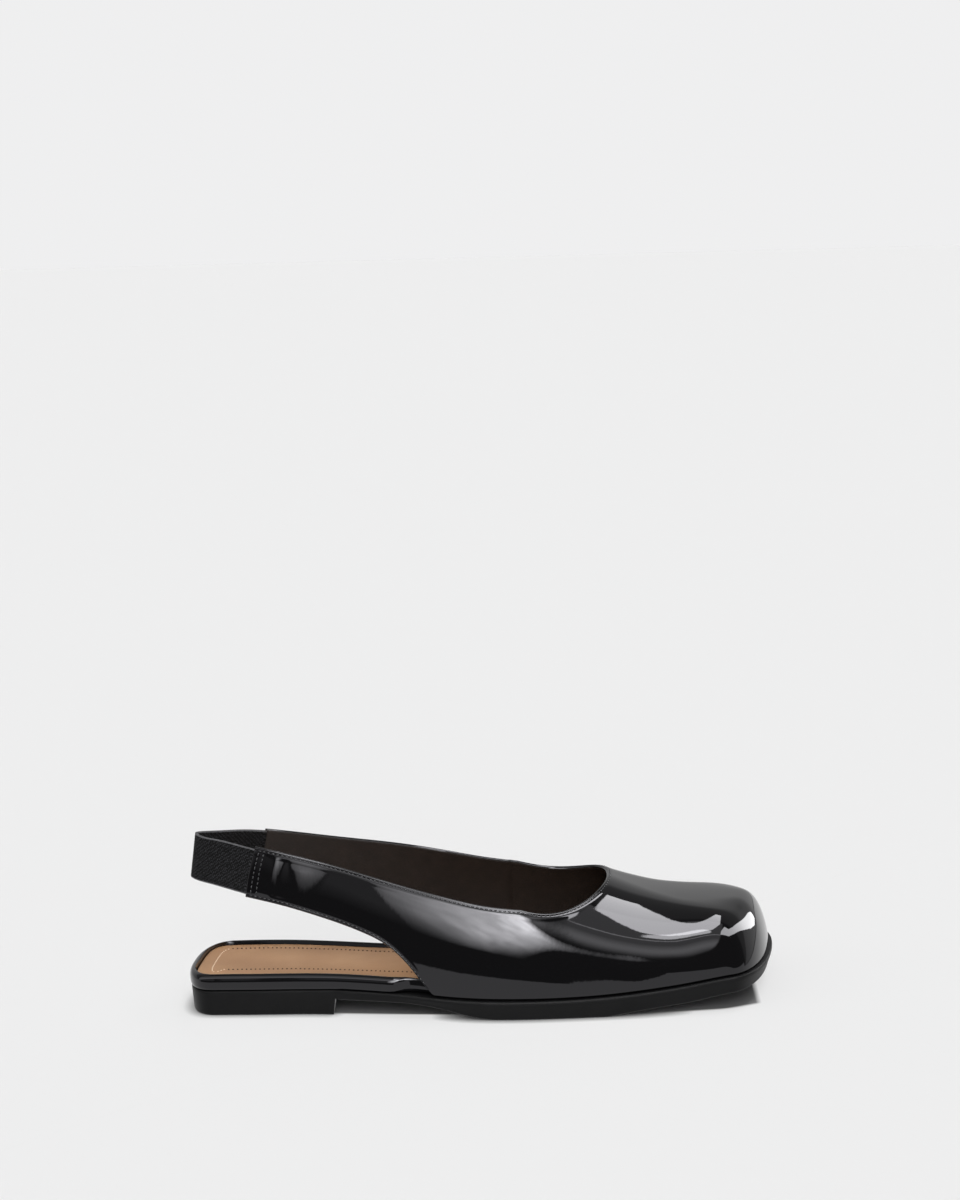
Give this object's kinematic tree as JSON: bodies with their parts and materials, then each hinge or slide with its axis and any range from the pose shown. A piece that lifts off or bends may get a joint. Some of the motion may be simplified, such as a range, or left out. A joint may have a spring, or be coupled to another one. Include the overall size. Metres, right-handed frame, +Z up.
{
  "type": "slingback flat shoe",
  "caption": "Square-toed slingback flat for the right foot: open-heeled leather upper, elastic heel strap, lined insole and low-heeled rubber sole.",
  "frame": {"origin": "floor level under the middle of the shoe's bounding box", "axes": "+X towards the toe, +Y towards the inner (medial) side of the foot, +Z up"},
  "size_m": [0.2492, 0.0866, 0.0726],
  "materials": {
    "outsole_rubber": "matte black moulded rubber",
    "rim_patent": "black patent leather, mirror gloss",
    "sock_leather": "tan natural leather, satin",
    "upper_patent": "black patent leather, mirror gloss, with a dark brown leather lining",
    "knit_elastic": "matte black knitted elastic"
  },
  "bodies": {
    "root": {"outsole": "outsole_rubber", "footbed": "rim_patent", "insole_sock": "sock_leather", "upper": "upper_patent", "back_elastic": "knit_elastic"}
  },
  "joints": []
}
